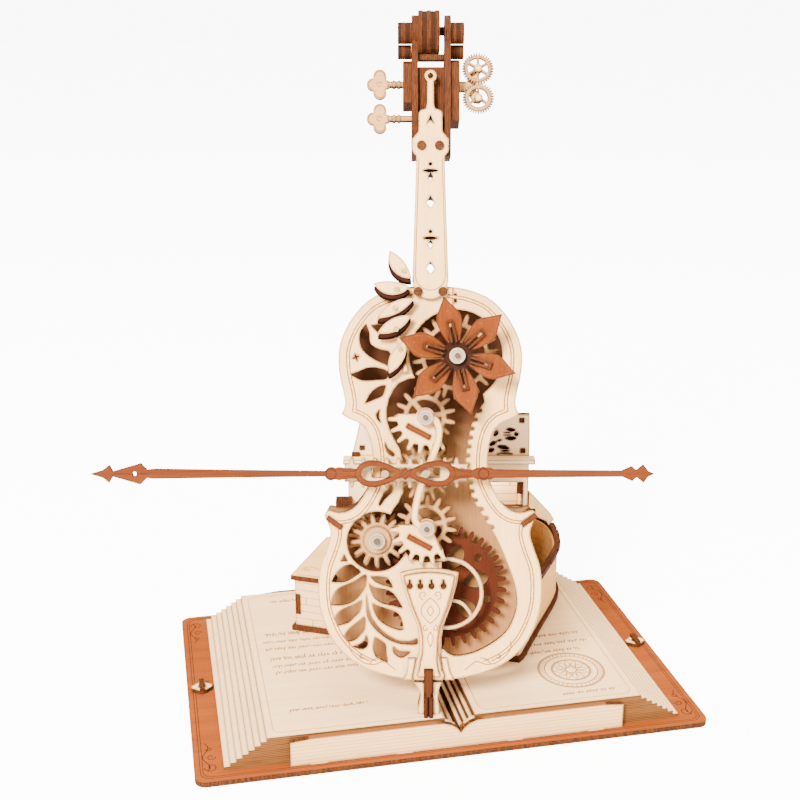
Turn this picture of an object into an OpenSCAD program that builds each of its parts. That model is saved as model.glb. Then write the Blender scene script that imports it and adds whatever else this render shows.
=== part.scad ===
// Laser-cut wooden cello music box standing on an open book. Millimetres.
// X right, Y back, Z up; origin at the centre of the underside of the cover board.

/* [Book] */
// Width of the cover board
cover_w = 185; // [184:1:188]
// Depth of the cover board
cover_d = 118; // [118:1:121]
// Number of page sheets in each stack
sheets = 8; // [8:1:8]

/* [Cello] */
// Angle the cello leans back from upright
lean = 17; // [17:0.1:17.1]
// Angle the cello is turned about the upright axis
turn = -11.6; // [-11.6:0.1:-11.5]
// Thickness of the plywood plates
ply = 2; // [2:0.05:2]

/* [Gears] */
// Radial clearance of shafts in their bores
fit = 0.06; // [0.04:0.01:0.08]
// Tooth width at the pitch line
tooth = 1.5; // [1.4:0.05:1.6]

/* [Hidden] */
$fn = 48;
mod_g = 1.29;
add = 1.25;
ded = 2.25;
sheet_t = 1.34;
page_top = 2 + sheets * sheet_t;
foot = [-9.4, -48.2, page_top];
shaft_r = 1;
// depth layers of the cello, measured from the face of the front plate
w_back = -18;
w_rear = -12;
w_ring = -6;
w_sector = 1.5;
w_bracket = 4;
w_bow = 6.2;
case_z = page_top + 2;
case_h = 20;
case_top_z = case_z + case_h;
tower_z = case_top_z + 2;
tower_h = 62.5;
tower_at = [8.7, 20];

// axle centres, each placed from its neighbour by the sum of pitch radii
function step(a, d) = [d * cos(a), d * sin(a)];
function cd(n1, n2) = mod_g * (n1 + n2) / 2;
n_drive = 32;
n_rear = 15;
n_front = 13;
n_ring = 15;
n_flower = 22;
a_up = 90;
a_fl = 63.15;
a_lo = 271.2;
a_left = 196.58;
a_dr = -35.31;
c_idle = [-1.8, 84.5];
c_upper = c_idle + step(a_up, cd(15, 15));
c_flower = c_upper + step(a_fl, cd(15, 22));
c_lower = c_idle + step(a_lo, cd(15, 15));
c_left = c_lower + step(a_left, cd(15, 13));
c_drive = c_left + step(a_dr, cd(15, 32));
pin_left = [-15.8, 84.5];

// phase of a gear so that its teeth fall in the gaps of the one it meshes
function phase(a, pa, na, nb) = a + 180 - (360 / nb) * (0.5 - (a - pa) * na / 360);
p_idle = 0;
p_upper = phase(a_up, p_idle, 15, 15);
p_flower = phase(a_fl, p_upper, 15, 22);
p_lower = phase(a_lo, p_idle, 15, 15);
p_front = phase(a_left, p_lower, 15, 13);
p_rear = 6;
p_drive = phase(a_dr, p_rear, 15, 32);

// smooth curve through points: four steps to each span
function crom(a, b, c, d, u) = 0.5 * ((2 * b) + (c - a) * u + (2 * a - 5 * b + 4 * c - d) * u * u
    + (3 * b - a - 3 * c + d) * u * u * u);
function smooth(p, k) = [for (i = [0 : len(p) - 2]) for (j = [0 : k - 1])
    crom(p[max(i - 1, 0)], p[i], p[i + 1], p[min(i + 2, len(p) - 1)], j / k)];
function mirrored(p) = [for (i = [len(p) - 1 : -1 : 0]) [-p[i][0], p[i][1]]];
// outline of a strip of half width h along a path
function unit(v) = v / norm(v);
function tangent(p, i) = unit(p[min(i + 1, len(p) - 1)] - p[max(i - 1, 0)]);
function side(p, h) = [for (i = [0 : len(p) - 1]) let (t = tangent(p, i)) p[i] + h * [-t[1], t[0]]];
function strip(p, h) = concat(side(p, h), [for (i = [len(p) - 1 : -1 : 0]) side(p, -h)[i]]);

upper_bout = [[6.6, 149.5], [14, 148.2], [21.8, 144.6], [28.1, 137.4], [31.8, 128.8], [32, 120],
    [30.4, 112.3], [29.9, 108], [31.2, 104.9]];
waist = [[31.2, 104.9], [28.6, 103.2], [24.4, 101.3], [21.6, 97.4], [20.2, 90], [20.5, 83],
    [22.6, 77.5], [25.8, 72.8], [29, 70.6], [32.6, 70.2], [35.9, 71], [37.3, 69.2]];
lower_bout = [[37.3, 69.2], [36, 66.4], [35.1, 62.8], [36.5, 57.4], [38.6, 51.4], [39.4, 44],
    [38.8, 36.5], [36.8, 30], [33.2, 23.4], [27.6, 17.9], [20, 14], [10, 11.6], [0, 10.9]];
half = concat(smooth(upper_bout, 3), smooth(waist, 3), smooth(lower_bout, 3));
body_outline = concat(half, [[0, 10.9]], mirrored(half));
inner_edge = [[63, 22.3], [67, 19.6], [71.3, 17.2], [74, 15.3], [77.7, 14], [82, 13.2], [88.5, 12.3],
    [91.6, 12.6], [95.5, 13.3], [99.5, 14], [105, 16], [109, 19]];
opening = concat([[-7, 117.5], [-11.3, 115.6], [-12.9, 113.6], [-14.5, 110.4], [-15.4, 106.5],
    [-15.3, 103], [-14.1, 98.9], [-12.5, 95.7], [-10.6, 92.5], [-9.6, 88], [-9.2, 82], [-9.5, 77.7],
    [-11.2, 73.9], [-13.2, 71.2], [-14.2, 69], [-9.6, 58], [-7.4, 54.4], [-3.5, 52.9], [4, 52.6]],
    smooth([[4, 22.4], [8.2, 19.6], [15.8, 20.9], [23.4, 25.1], [27.6, 29.3], [30.1, 35.2], [30.5,
        40.2],
    [29.4, 46], [27.2, 52], [24.6, 58.4], [22.6, 62.4]], 3));
bracket_path = [[-0.6, 103.9], [1.6, 102.9], [2.8, 100.4], [2.8, 97], [1.6, 92.9], [-0.3, 88],
    [-1.8, 84.5],
    [-3.6, 79.3], [-5, 73.7], [-5.6, 69.4], [-4.7, 66.9], [-2.6, 65.5], [-2, 65.3]];

light = [0.94, 0.86, 0.74];
brown = [0.72, 0.42, 0.24];
dark = [0.45, 0.25, 0.14];
steel = [0.7, 0.7, 0.72];
white = [0.93, 0.93, 0.95];
brass = [0.8, 0.62, 0.28];

module stand() translate(foot) rotate([0, 0, turn]) rotate([90 - lean, 0, 0]) children();
module layer(w, h = ply) translate([0, 0, w]) linear_extrude(h) children();
module at(c, w = 0) translate([c[0], c[1], w]) children();
module rod(c, w0, w1, r) at(c, w0) cylinder(r = r, h = w1 - w0);
module tower() translate([tower_at[0], tower_at[1], tower_z]) rotate([0, 0, turn]) children();

module lens(a, b, h) {
    d = norm(b - a);
    r = (d * d / 4 + h * h) / (2 * h);
    m = (a + b) / 2;
    q = [a[1] - b[1], b[0] - a[0]] / d;
    intersection() {
        translate(m + q * (r - h)) circle(r);
        translate(m - q * (r - h)) circle(r);
    }
}

// one finger tooth as offsets from the pitch radius and the tooth centre line
finger = [[-ded, -0.58], [-0.9, -0.54], [0.3, -0.47], [0.85, -0.36], [1.15, -0.2], [add, 0],
    [1.15, 0.2], [0.85, 0.36], [0.3, 0.47], [-0.9, 0.54], [-ded, 0.58]];
function turned(x, y, a) = [x * cos(a) - y * sin(a), x * sin(a) + y * cos(a)];
function gear_pts(n, p, n0 = 0, n1 = -1) = [for (i = [n0 : n1 < 0 ? n - 1 : n1]) for (q = finger)
    turned(mod_g * n / 2 + q[0], q[1] * tooth, p + i * 360 / n)];

module rounded(w, d, r) for (k = [0, 1]) translate([k ? r - w / 2 : -w / 2, k ? -d / 2 : r - d / 2])
    square([w - (k ? 2 * r : 0), d - (k ? 0 : 2 * r)]);
module plate_rr(w, d, r) {
    rounded(w, d, r);
    for (i = [-1, 1]) for (j = [-1, 1]) translate([i * (w / 2 - r), j * (d / 2 - r)]) circle(r);
}

// ---- book ----
module book_cover() color(brown) difference() {
    linear_extrude(2) plate_rr(cover_w, cover_d, 4);
    for (i = [-1, 1]) {
        translate([i * 87, 0, -1]) cylinder(r = 1.2 + fit, h = 4);
        for (x = [-50, -20, 20, 50]) for (j = [-1, 1]) translate([x - 3.05, j * 54.9 - 1.05, -1])
            cube([6.1, 2.1, 4]);
    }
}
module page_stack(k) for (i = [0 : sheets - 1]) {
    x1 = 82.4 - 2.12 * i;
    x0 = i < 5 ? 9.6 : 9.6 - (i - 4) * 1.35;
    translate([0, 0, 2 + i * sheet_t]) linear_extrude(sheet_t)
        translate([k < 0 ? -x1 : x0, -53.4]) square([x1 - x0, 106.8]);
}
module pages() color(light) for (k = [-1, 1]) page_stack(k);
gutter_end = [[0.4, 2], [0.4, 8.2], [1.6, 9.6], [3.6, 10.9], [5.4, 11.6], [5.4, 11.3], [6.8, 11.3],
    [6.8, 10], [8.1, 10], [8.1, 8.6], [9.5, 8.6], [9.5, 2]];
module gutter_strips() color(light) for (k = [-1, 1]) {
    for (i = [0 : 3]) translate([k * (1.5 + 2 * i), 52, 2]) rotate([90, 0, 0])
        linear_extrude(104) translate([-0.7, 0]) square([1.4, 4.4 + 0.95 * i]);
    for (j = [-1, 1]) translate([0, k * 52.85 + 0.75, 0]) rotate([90, 0, 0]) linear_extrude(1.5)
        polygon([for (p = gutter_end) [j * p[0], p[1]]]);
}
module end_walls() color(light) for (k = [-1, 1]) translate([0, k * 54.85 + 0.95, 0]) rotate([90, 0, 0])
    linear_extrude(1.9) {
        polygon(concat([[-60, 2], [-60, 11.4]], [for (x = [-52 : 8 : -12]) [x, 12.2]],
            [[-6, 12], [-3.2, 11], [-1.2, 9.4], [0, 7.6], [1.2, 9.4], [3.2, 11], [6, 12]],
                [for (x = [12 : 8 : 52]) [x,
                12.2]],
            [[60, 11.4], [60, 2]]));
        for (x = [-50, -20, 20, 50]) translate([x - 3, 0.2]) square([6, 1.9]);
    }
module clasp() linear_extrude(1.5) difference() {
    union() {
        circle(3.1);
        for (a = [0, 180]) rotate(a) translate([2.4, 0]) circle(1.6);
    }
    circle(1.2 + fit);
}
module clasp_left() color(light) translate([-87, 0, 2.1]) clasp();
module clasp_right() color(light) translate([87, 0, 2.1]) clasp();
module clasp_pins() color(dark) for (i = [-1, 1]) translate([i * 87, 0, 0]) {
    cylinder(r = 1.2, h = 4.6);
    translate([-0.9, -3.3, 3.7]) cube([1.8, 6.6, 1.3]);
}

// ---- case ----
case_plan = concat([[-50, 20], [31, -22.8]], smooth([[33.5, -20.5], [46.5, 0], [60, 21], [64.6,
    32], [64.8, 43],
    [60, 50.6], [52, 52.6]], 4), [[52, 52.6], [-31, 52.6]]);
module case_floor() color(brown) translate([0, 0, page_top]) linear_extrude(2) polygon(case_plan);
rise_y = 30;
rise = 0.22;
module behind() translate([40, rise_y]) square([40, 40]);
// the rounded end climbs towards the back
module climb() multmatrix([[1, 0, 0, 0], [0, 1, 0, 0], [0, rise, 1, -rise * rise_y], [0, 0, 0, 1]])
    children();
module wall_band() difference() {
    offset(delta = -1.2) polygon(case_plan);
    offset(delta = -3.2) polygon(case_plan);
}
module case_walls() color(light) difference() {
    union() {
        translate([0, 0, case_z]) linear_extrude(case_h) wall_band();
        climb() translate([0, 0, case_z]) linear_extrude(case_h) intersection() {
            wall_band();
            open_part(-0.1);
            behind();
        }
    }
    translate([-14, 40, case_z + 9]) rotate([-90, 0, 0]) cylinder(r = 1.6 + fit, h = 20);
    corner_tab(0.02);
}
module corner_tab(g = 0) translate([-46.86, 20.75, 19.7]) rotate([0, 0, -27.85])
    translate([-1 - g, -1.18, -g]) cube([2 + 2 * g, 2.25, 8.5 + 2 * g]);
module open_part(g) polygon([[46.6 - g, -2], [48.6 - g, 54], [72, 60], [72, -2]]);
module case_top() color(light) translate([0, 0, case_top_z]) linear_extrude(2) difference() {
    polygon(case_plan);
    open_part(0);
}
module rim_band() intersection() {
    difference() {
        polygon(case_plan);
        offset(delta = -2.5) polygon(case_plan);
    }
    open_part(-0.05);
}
module case_rim() color(brown) difference() {
    union() {
        translate([0, 0, case_top_z]) linear_extrude(2) difference() {
            rim_band();
            behind();
        }
        climb() translate([0, 0, case_top_z]) linear_extrude(2) intersection() {
            rim_band();
            behind();
        }
    }
    for (i = [4 : 2 : 22]) let (d = case_plan[i + 1] - case_plan[i]) translate([case_plan[i][0],
        case_plan[i][1], case_top_z - 1]) rotate([0, 0, atan2(d[1], d[0])])
        translate([-0.7, -0.9, 0]) cube([1.4, 1.7, 12]);
}
module side_brace() color(light) difference() {
    translate([46.85, 27.6, 0]) rotate([0, 0, 44.5]) rotate([90, 0, 0]) linear_extrude(1.9)
        polygon([[0.6, 61.5], [0.6, 51.5], [5, 49], [17, 42], [19.4, 39.25], [24.2, 39.99], [24.2, 40.4],
            [20, 45]]);
    tower() translate([-40, -10, -10]) cube([75.15, 60, 100]);
}
module stay_at(k) translate([k < 0 ? -33.6 : 34.7, k < 0 ? 66.6 : 67.6, 0]) rotate([0, 0, k * 35])
    children();
module stay_bar(k) stay_at(k) translate([-3.2, -0.95, w_back]) cube([6.4, 1.9, 0.4 - w_back]);
module strut_bar(g = 0) stand() translate([-6 - g, 90 - g, -49]) cube([12 + 2 * g, 3 + 2 * g, 33]);
// cut-out pattern on the tower as leaf shapes: end, end, half width
pattern = [[[22, 53.5], [23.1, 56], 0.8], [[26.3, 56.4], [30.1, 56], 0.75], [[25.2, 55], [28.5, 55],
    0.25],
    [[25.2, 54], [28.5, 54], 0.25], [[26, 52.7], [30.6, 52.7], 0.9], [[19.9, 49.7], [22.9, 51.4], 0.8],
    [[22.9, 51.6], [25, 52.1], 0.4], [[19.6, 47.2], [22, 48.3], 0.85], [[23, 49.4], [28, 48.5], 0.9],
    [[24.4, 47.5], [28.2, 47.5], 0.4], [[22.9, 46.3], [29.4, 46.3], 0.55]];
tabs = [[32.4, 60], [33.1, 47.6], [-29.2, 48.8]];
module tower_front() color(light) difference() {
    union() {
        tower() translate([-36.6, -4.5, 43.5]) cube([74.2, 4.55, 2]);
        tower() translate([0, ply, 0]) rotate([90, 0, 0]) linear_extrude(ply) difference() {
            polygon([[-34.9, 0], [-34.9, 40.4], [-33, 46.6], [-30.7, 56.6], [-29.6, tower_h],
                [35.3, tower_h], [35.7, 50], [35.7, 0]]);
            translate([8, 24.2]) square([25.7, 10.2]);
            translate([-27, 24.2]) square([30, 10.2]);
            for (q = pattern) lens(q[0], q[1], q[2]);
            translate([30.4, 54.4]) circle(0.85);
            for (q = tabs) translate([q[0] - 0.95, q[1] - 0.95]) square([1.9, 1.9]);
        }
    }
    strut_bar(0.05);
}
module tower_shell() color(light) tower() difference() {
    translate([-28.6, ply + 0.05, 0]) cube([63.7, 14, 55.2]);
    translate([-26.6, ply - 1, -1]) cube([59.7, 13.05, 58]);
}
module tower_shelves() color(brown) tower() {
    translate([-28.6, ply + 0.05, 55.25]) cube([63.7, 14, 2]);
    translate([-26.55, ply + 0.1, 38]) cube([59.6, 11.8, 2]);
    translate([-26.55, ply + 0.1, 14]) cube([59.6, 11.8, 2]);
    translate([27.2, -1, 21.7]) cube([11.6, 1, 1.5]);
}
module joint_tabs() color(brown) {
    corner_tab();
    tower() {
        translate([31.4, 0.3, 29.3]) cube([2.3, 1.4, 5.1]);
        for (q = tabs) translate([q[0] - 0.93, 0.5, q[1] - 0.93]) cube([1.86, 1.5, 1.86]);
        translate([-33.4, -1.2, 45.5]) cube([3.2, 1.2, 1.6]);
        for (i = [0 : 3]) translate([-39.7 + 1.55 * i, -5 + 0.3 * (i % 2), 23])
            cube([1.55, 5 - 0.3 * (i % 2), 5.5]);
    }
}
module stays() color(brown) {
    stand() for (k = [-1, 1]) stay_bar(k);
    difference() {
        strut_bar();
        tower() translate([-60, ply, -20]) cube([120, 60, 100]);
    }
}

// ---- music movement, sealed in the case ----
move_z = case_z + 9;
module movement_bed() color(brass) {
    translate([-26, 26, case_z]) cube([60, 20, 1.6]);
    for (x = [-1.5, 29]) difference() {
        translate([x, 32, case_z + 1.6]) cube([1.6, 12, 11]);
        translate([x - 1, 38, move_z]) rotate([0, 90, 0]) cylinder(r = 0.9 + fit, h = 4);
    }
    translate([-14, 30, move_z]) rotate([-90, 0, 0]) difference() {
        cylinder(r = 7.3, h = 10);
        translate([0, 0, 4]) cylinder(r = 1.6 + fit, h = 10);
    }
    difference() {
        translate([-24, 37, case_z + 1.6]) cube([1.6, 7, 11]);
        translate([-25, 40.5, move_z + 0.5]) rotate([0, 90, 0]) cylinder(r = 0.6 + fit, h = 4);
    }
}
module pin_cylinder() color(brass) translate([0, 38, move_z]) rotate([0, 90, 0]) {
    translate([0, 0, -1.4]) cylinder(r = 0.9, h = 32);
    translate([0, 0, 2]) cylinder(r = 4.6, h = 24);
    for (i = [0 : 11]) translate([0, 0, 3.6 + i * 1.9]) rotate([90, 0, i * 67]) translate([0, 0, -5.1])
        cylinder(r = 0.25, h = 10.2, $fn = 12);
}
module comb() color(steel) translate([2, 27, move_z + 1]) difference() {
    cube([24, 5.6, 1]);
    for (i = [1 : 15]) translate([i * 1.5 - 0.15, 2.4, -1]) cube([0.3, 5, 3]);
}
module governor() color(brass) translate([-22.6, 40.5, move_z + 0.5]) {
    translate([-1.8, 0, 0]) rotate([0, 90, 0]) cylinder(r = 0.6, h = 2.9);
    translate([-5.2, -2.2, -0.4]) cube([3.2, 4.4, 0.8]);
    translate([-2.6, 0, 0]) rotate([0, 90, 0]) cylinder(r = 1.2, h = 0.9);
}
module wind_key() color(brass) translate([-14, 34.5, move_z]) rotate([-90, 0, 0]) {
    cylinder(r = 1.6, h = 21);
    translate([0, 0, 20]) difference() {
        union() {
            for (i = [-1, 1]) translate([i * 4.4, 0.9, 3.4]) rotate([90, 0, 0]) cylinder(r = 3.8, h
                = 1.8);
            translate([-4, -0.9, 0]) cube([8, 1.8, 5]);
        }
        for (i = [-1, 1]) translate([i * 4.8, 2, 3.4]) rotate([90, 0, 0]) cylinder(r = 1.7, h = 4);
    }
}
module drive_block() color(light) difference() {
    stand() difference() {
        translate([c_drive[0] - 6, c_drive[1] - 12, -53]) cube([12, 17, 11]);
        rod(c_drive, -54, -41, 1.25 + fit);
    }
    translate([-40, -40, tower_z - 30]) cube([80, 80, 30]);
}

// ---- cello body ----
module bores(g = fit) {
    at(c_drive) circle(1.25 + g);
    for (c = [c_left, c_lower, c_upper, c_flower]) at(c) circle(shaft_r + g);
}
module tab_slots(g = 0) for (k = [-1, 1]) stay_at(k) square([6.4 + 2 * g, 1.9 + 2 * g], center = true);
// leaf-shaped cut-outs, each as the corners of a smooth closed outline
vine = [[[-34.7, 45.7], [-33.9, 47.7], [-32.3, 49.8], [-30, 51.5], [-27.7, 52], [-26.1, 50.9],
        [-24.3, 49.2], [-26.4, 47.7], [-28, 46.6], [-30.6, 45.6]],
    [[-34.9, 37.6], [-34.2, 41], [-32.4, 43.4], [-30, 44.6], [-27.6, 45.6], [-25.4, 46.8],
        [-23.6, 48.1], [-22.3, 48], [-22.7, 44.4], [-24, 42], [-25.6, 39.9], [-28, 38.3], [-31, 37.5]],
    [[-33.4, 30.1], [-33.6, 32.9], [-32.3, 35], [-30, 36.6], [-26.7, 37.8], [-24, 39.3], [-24.2, 37],
        [-24.9, 35], [-27, 32.9], [-29, 31.2]],
    [[-30, 24.4], [-30.3, 26.3], [-29.3, 28.4], [-27.4, 30.2], [-25.1, 31.9], [-23, 33.5],
        [-22.8, 31.2], [-23.1, 28.9], [-24.8, 26.7], [-26.4, 25.2]],
    [[-27.5, 22.9], [-25.1, 23.7], [-23.3, 25], [-22.5, 27], [-21.8, 25], [-22.1, 23], [-23.4, 22.1],
        [-25.1, 22.1]],
    [[-19.5, 26.3], [-20.2, 23], [-19.8, 20.8], [-18.9, 19.1], [-17.2, 18.1], [-14.9, 17.3],
        [-15.3, 19.8], [-15.4, 22.4], [-15.9, 24], [-17.5, 25.3]],
    [[-13, 23], [-13.1, 21.6], [-12.3, 19.9], [-10.3, 18.9], [-8.4, 19.6], [-6.9, 21.1], [-9, 21.2],
        [-11, 21.5]],
    [[-21, 47.6], [-18.5, 47.8], [-16.2, 47.6], [-14.6, 46.8], [-13.1, 43.7], [-15.6, 44.3],
        [-17.5, 44.8], [-19.5, 45.9]],
    [[-21.6, 45.2], [-19.8, 44], [-17.5, 43.5], [-14.9, 43], [-12.6, 41.4], [-11.3, 39.4],
        [-9.7, 36.5], [-13, 37.3], [-15.9, 37.8], [-18.2, 38.8], [-20.2, 41.1]],
    [[-20.4, 38.3], [-17.9, 37.3], [-14.9, 36.3], [-12, 35.2], [-10.3, 33.2], [-9.5, 28.8],
        [-13, 29.3], [-15.9, 30.6], [-18.2, 32.5], [-19.8, 35.5]],
    [[-22.4, 41.6], [-22.1, 39.6], [-21.6, 36.5], [-20.6, 33.4], [-18.7, 30.5], [-16.1, 27.9],
        [-13.5, 26.2], [-11, 25.1], [-7.7, 24.8], [-5.8, 25.2], [-4.6, 25.8], [-4.5, 23.7], [-7.7,
            23.6],
        [-11, 23.9], [-14.3, 25.1], [-17, 26.9], [-19.5, 29.2], [-21.5, 32.2], [-22.3, 35.2]],
    [[-22.5, 136.5], [-24.3, 134.3], [-24.9, 131.5], [-24.3, 128.3], [-22.5, 125.9], [-19.7, 123.9],
        [-16.5, 122.5], [-13.6, 121.4], [-13, 124], [-14.5, 126.9], [-17.3, 127.5], [-20.5, 129.1],
        [-21.2, 130.9], [-21.3, 133.2]],
    [[-20.8, 136], [-17.4, 136.3], [-14, 136.2], [-16, 134.4], [-18.2, 133.3]],
    [[-28.4, 118.8], [-25.2, 119.8], [-22.5, 121], [-19.3, 121.3], [-15.7, 120.4], [-14.7, 119.2],
        [-15.1, 117.2], [-18.5, 116.8], [-22.5, 116.5], [-25.2, 117]],
    [[-22.9, 108.5], [-21.9, 110.8], [-20.1, 113.2], [-17.7, 114.6], [-15.6, 115], [-15.9, 113.2],
        [-16.7, 111.2], [-19.3, 110]],
    [[-17.6, 106.6], [-18.7, 105.5], [-19, 104.2], [-18.5, 102.9], [-17.2, 101.7], [-17.8, 103.2],
        [-17.9, 104.5]],
    [[-15.9, 95.3], [-15, 93.2], [-13.7, 92], [-12.3, 90.6], [-13.2, 90], [-14.7, 90.9], [-15.7, 92.9]],
    [[-14.1, 80.1], [-15, 78.1], [-16.4, 77], [-18.1, 73.4], [-17.4, 72.6], [-15.9, 74.8],
        [-13.5, 77.2], [-13.2, 79.3]]];
module openings2d() {
    polygon(concat(opening, [for (q = inner_edge) [q[1], q[0]]], [[18, 115], [8, 117]]));
    at(c_flower) circle(16.3);
    at(c_left) circle(10.6);
    for (i = [0 : 13]) let (t = 65 + 3.15 * i, e = lookup(t, inner_edge))
        polygon([[e - 1, t - 0.9], [e + 1.5, t - 0.35], [e + 1.5, t + 0.6], [e - 1, t + 1.1]]);
}
module front2d() difference() {
    polygon(body_outline);
    openings2d();
    for (v = vine) polygon(smooth(concat(v, [v[0]]), 2));
    polygon([[-31.6, 53], [-30.2, 55.6], [-29, 53]]);
    for (a = [20, 110]) translate([-26, 124.8]) rotate(a) lens([-1.6, 0], [1.6, 0], 0.4);
    at(pin_left) circle(shaft_r);
    tab_slots(0.03);
    polygon([[-5.2, 133.5], [-4.5, 134.6], [-3.3, 134.3], [-3.4, 136], [-2.1, 136.2], [-1.6, 137.7],
        [-0.3, 137.5], [0.4, 139], [2, 138.6], [3, 130], [-3, 128]]);
    translate([8.3, 143.9]) square([1, 3.2]);
}
module seam() translate([0, -1]) polygon([[8, 200], [8, 100], [3, 60], [3, 0], [60, 0], [60, 200]]);
module front_left() color(light) stand() layer(-ply) difference() {
    front2d();
    offset(delta = 0.05) seam();
}
module front_right() color(light) stand() layer(-ply) intersection() {
    front2d();
    seam();
}
module back_plate() color(light) stand() layer(w_back) difference() {
    polygon(body_outline);
    bores();
    at(c_idle) circle(shaft_r);
    tab_slots(0.03);
    translate([-6.03, 89.97]) square([12.06, 3.06]);
}
module pillars() color(brown) stand() for (p = [[-27, 136], [-28.4, 113], [28.3, 112], [-35.4, 44.5],
    [33.8, 50], [-24, 19.6], [25.6, 20.4], [-5, 144.6]]) rod(p, w_back + ply, -ply, 1.9);
tail = [[-10.6, 50.2], [-10.4, 47], [-7.6, 38], [-4.6, 30.5], [-3.9, 26], [-4.1, 21], [-4.9, 18.6],
    [-5.5, 15.1], [-6, 13], [-5.8, 11.3], [4.3, 11.3], [5, 13], [4.2, 15.1], [3.6, 18.6], [3.7, 21],
    [3.9, 26], [4.6, 30.5], [7.4, 38], [9.8, 47], [9.9, 50.2]];
tail_holes = [-7.2, -3.5, 0.4, 4.6];
module tail2d(d) intersection() {
    offset(delta = d) polygon(concat(tail, [[9.9, 53], [-10.6, 53]]));
    translate([-0.3, 16]) circle(34.8 + d);
}
module tailpiece() color(light) stand() {
    for (q = [[0, 1.4, 0], [1.4, 1.2, -1.4]]) layer(q[0], q[1]) difference() {
        tail2d(q[2]);
        for (s = tail_holes) translate([s, 44.7]) {
            circle(1.1);
            translate([-0.4, 0.6]) square([0.8, 1.7]);
        }
    }
    layer(0, 1.4) difference() {
        polygon([[-7.9, 19.1], [-8, 15.8], [-8.6, 13.3], [-9.7, 11.4], [8.3, 11.4], [6.8, 14.7],
            [6.2, 17.7], [5.9, 19.2]]);
        polygon([for (i = [5 : 14]) tail[i] + (tail[i][0] < 0 ? [-0.35, i > 8 ? -1 : 0] : [0.35,
            i < 11 ? -1 : 0])]);
    }
}
module end_pin() color(light) difference() {
    stand() {
        layer(-5, 7) polygon([[-5.6, 10.8], [-4.9, 9.3], [-4, 8.1], [-3.5, 6.7], [-3.7, 4.6],
            [-4.3, 2], [-4.4, -4], [3.3, -4], [3.2, 2], [2.8, 4.2], [2.7, 6.5], [3.2, 8.8], [4, 10.8]]);
        difference() {
            union() {
                translate([-2.3, -4, 2]) cube([3.2, 14.8, 2.4]);
                translate([-2.3, 10.7, 2.65]) cube([3.2, 5.1, 1.75]);
            }
            for (s = [-2.8, 1.4]) rod([s, 6.6], 2.1, 5, 1.1);
            translate([-0.9, -4, 3.6]) cube([0.4, 9.8, 1]);
        }
    }
    translate([-60, -90, page_top - 40]) cube([100, 90, 40]);
}
board = [[-6.3, 151], [-4.9, 194.6], [-6.2, 196.2], [-6.4, 197.2], [-6.4, 200.4], [-4.15, 203.2],
    [-4.1, 209.6], [-3.3, 210.6], [-1.6, 211], [-1.2, 212.6], [-1.1, 221]];
module neck_board() color(light) stand() difference() {
    union() {
        layer(0.05, 1.95) polygon(concat(board, mirrored(board)));
        rod([0, 222.4], 0.05, 2, 2.1);
        layer(0.05, 1.95) intersection() {
            translate([0, 151]) circle(6.1);
            translate([-7, 143.2]) square([14, 10]);
        }
    }
    layer(-1, 4) {
        translate([0, 222.4]) circle(0.95);
        for (t = [155.9, 178.8]) polygon([[-1.4, t - 0.3], [0, t + 2.2], [1.4, t - 0.3], [0, t - 2]]);
        polygon([[-1.45, 205.7], [-0.5, 207.6], [0, 209], [0.5, 207.6], [1.45, 205.7], [0, 207.2]]);
        for (t = [166.2, 189.6]) {
            lens([-2.8, t], [2.8, t], 0.6);
            translate([0, t + 2.3]) circle(0.6);
            polygon([[-0.9, t - 2.1], [0, t - 0.3], [0.9, t - 2.1], [0, t - 3.4]]);
        }
        for (p = plug_at) translate(p) circle(1.2);
    }
}
plug_at = [[-3.1, 198.3], [3.1, 198.3], [-4.3, 147.6], [4.3, 147.6]];
module plugs() color(dark) stand() {
    for (s = tail_holes) rod([s, 44.7], 0.05, 1.5, 1.05);
    for (p = plug_at) plug(p);
}
module plug(p) {
    rod(p, 0.05, 2.3, 1.2);
    rod(p, 2, 2.9, 1.6);
}
module neck_core() color(brown) stand() {
    difference() {
        for (i = [0 : 3]) translate([-4.25 + i * 2.3, 150.2, -11]) cube([2.28, 54, 11]);
        for (t = [155.9, 178.8]) rod([0, t], -12, 1, 2.2);
        for (t = [164.2, 187.6]) rod([0, t], -12, 1, 1.5);
    }
    for (i = [0 : 4]) translate([-4.25 + i * 1.84, 204.25, -4.3 + 0.25 * (i % 2)])
        cube([1.82, 22.2, 2 - 0.25 * (i % 2)]);
    translate([-4.25, 204.25, -13]) cube([9.2, 22.2, 2]);
}

// ---- head ----
module profile_plate(s0, s1) translate([s0, 0, 0]) rotate([90, 0, 90]) linear_extrude(s1 - s0)
    children();
head_c = [239.5, -4.6];
cheeks = [[-6.5, -4.3], [5, 7.2]];
outer_plates = [[-9.6, -6.55, 212.4, 229.4, 220.8], [7.25, 10.3, 206.2, 229.8, 0]];
module pegbox() color(brown) stand() {
    for (q = cheeks) profile_plate(q[0], q[1]) difference() {
        union() {
            polygon([[195, -11.5], [195, -0.1], [207, -0.1], [219, 0], [229, -0.8], [235.5, -1.2],
                [236, -8], [231, -13.5], [205, -14]]);
            translate(head_c) circle(5.4);
        }
        for (t = [208.8, 220.8]) translate([t, -5]) circle(1.2 + fit);
        translate(head_c) circle(1.6);
    }
    for (q = outer_plates) profile_plate(q[0], q[1]) difference() {
        polygon([[q[2], -9.5], [q[2] + 1.5, -1.5], [q[3] - 2, -1.5], [q[3], -6], [q[3] - 2, -10.5]]);
        if (q[4] > 0) translate([q[4], -5]) circle(1.2 + fit);
    }
    translate([-4.3, 229.2, -6.5]) cube([9.3, 1.9, 3.4]);
}
volute = [for (a = [-60 : 15 : 195]) head_c + (8.6 - (a + 60) / 90) * [sin(a), cos(a)]];
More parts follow.
